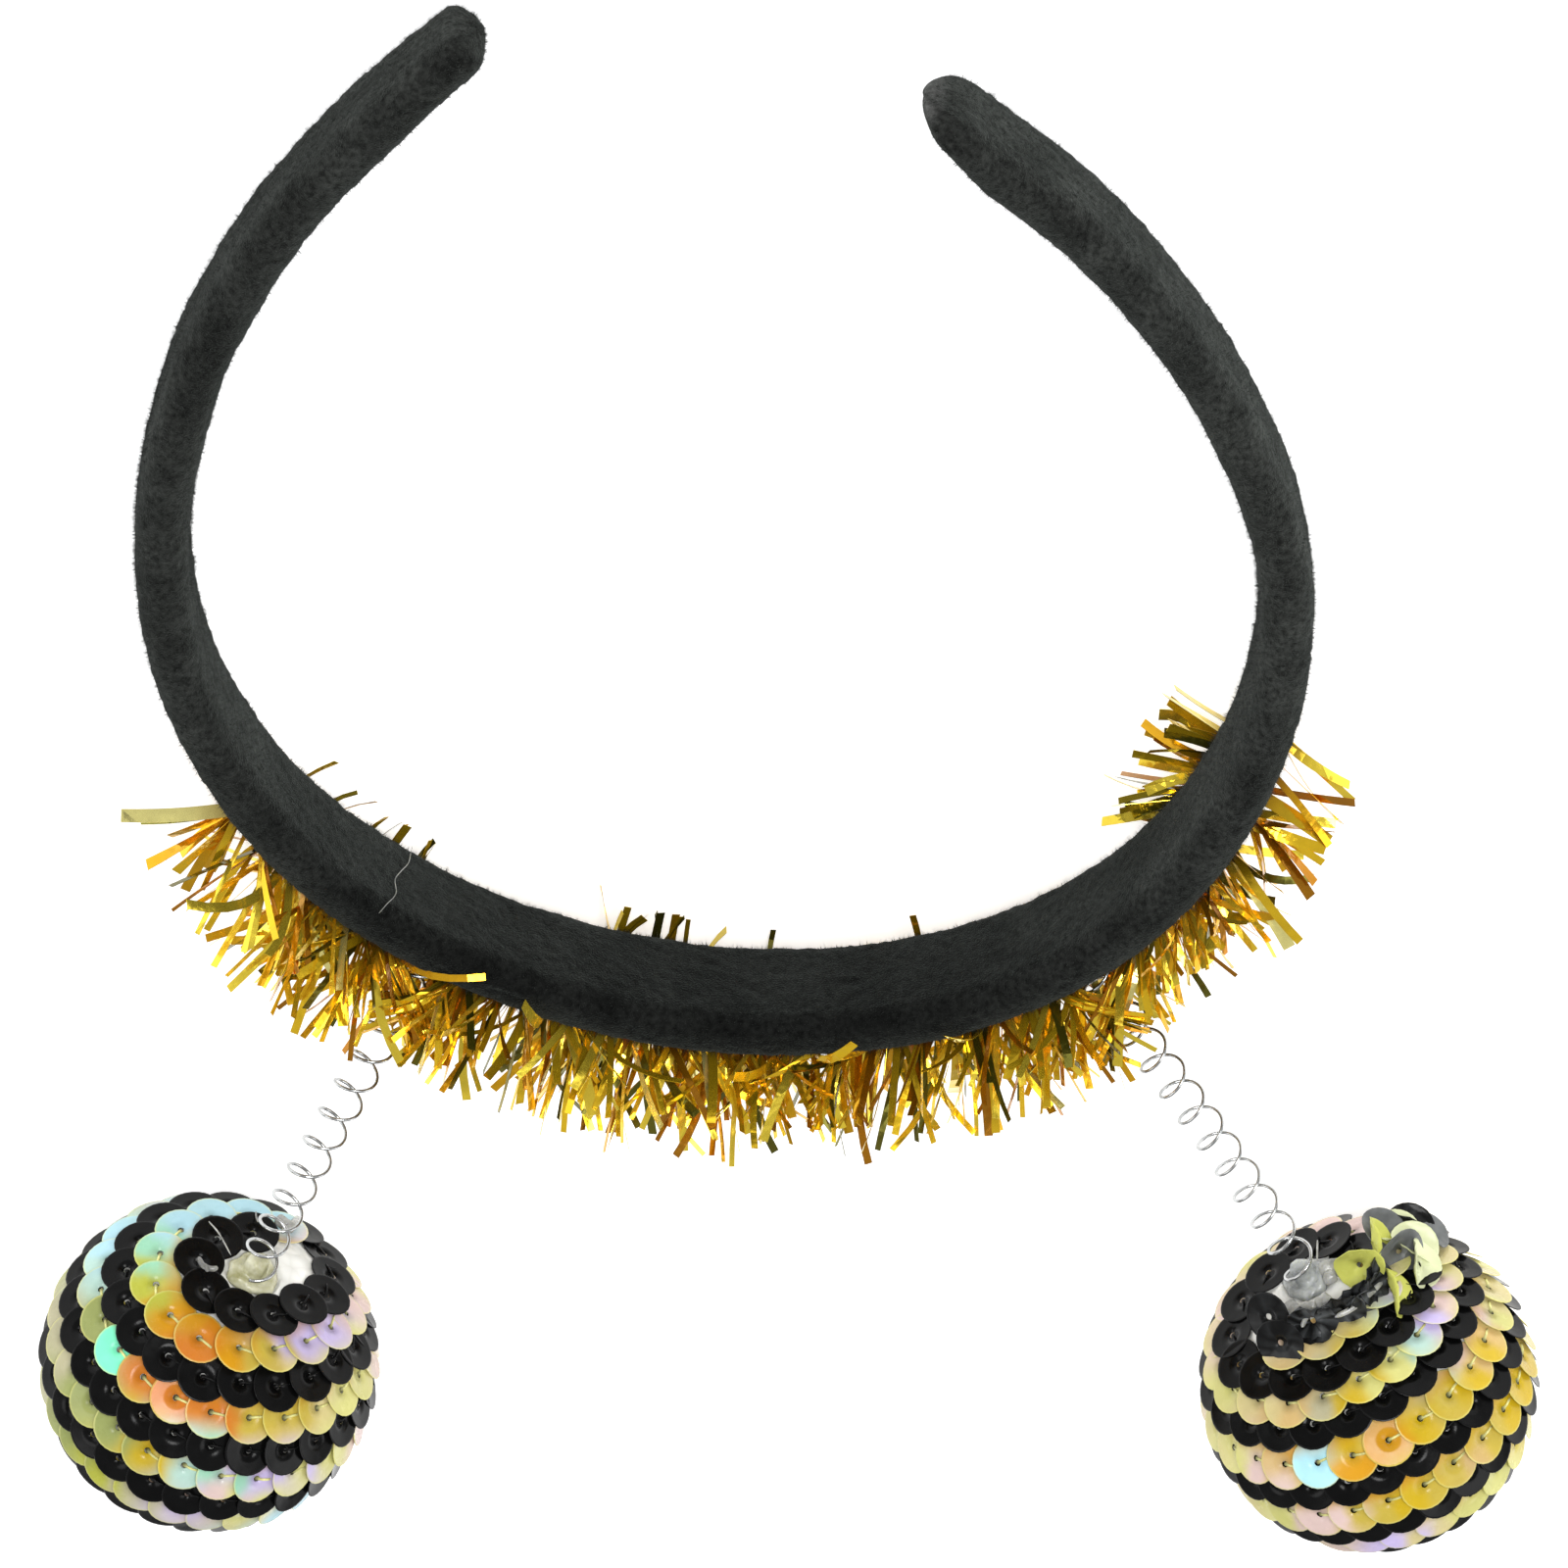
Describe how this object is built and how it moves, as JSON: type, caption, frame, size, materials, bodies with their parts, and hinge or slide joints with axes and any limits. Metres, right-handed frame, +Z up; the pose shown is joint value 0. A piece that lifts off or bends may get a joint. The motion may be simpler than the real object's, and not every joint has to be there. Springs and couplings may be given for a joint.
{
  "type": "sequin headband",
  "caption": "Padded black fleece headband with a gold tinsel garland along its crown and striped sequin balls on wire springs, lying on a surface.",
  "frame": {"origin": "on the surface that the headband lies on, under the middle of its bounding box", "axes": "+Z up from the surface, +Y towards the band's open ends, the balls at -Y, +X to the right as in the picture"},
  "size_m": [0.1712, 0.2104, 0.0392],
  "materials": {
    "fleece_black": "matte",
    "foil_gold": "gloss",
    "wire_silver": "satin",
    "foam_white": "matte",
    "glue_clear": "gloss",
    "sequin_black": "gloss",
    "sequin_gold": "gloss"
  },
  "bodies": {
    "headband": {"band": "fleece_black", "tinsel": "foil_gold"},
    "ball_left": {"spring_left": "wire_silver", "foam_left": "foam_white", "glue_left": "glue_clear", "sequins_black_left": "sequin_black", "sequins_gold_left": "sequin_gold"},
    "ball_right": {"spring_right": "wire_silver", "foam_right": "foam_white", "glue_right": "glue_clear", "sequins_black_right": "sequin_black", "sequins_gold_right": "sequin_gold"}
  },
  "joints": [
    {"name": "left_sway", "type": "hinge", "parent": "headband", "child": "ball_left", "pos_m": [-0.0405, -0.0215, 0.0153], "axis": [0, 0, 1], "range_deg": [-30, 30], "stiffness_Nm_per_rad": 0.004, "deforming": ["spring_left"]},
    {"name": "right_sway", "type": "hinge", "parent": "headband", "child": "ball_right", "pos_m": [0.0335, -0.0231, 0.0154], "axis": [0, 0, 1], "range_deg": [-30, 30], "stiffness_Nm_per_rad": 0.004, "deforming": ["spring_right"]}
  ]
}
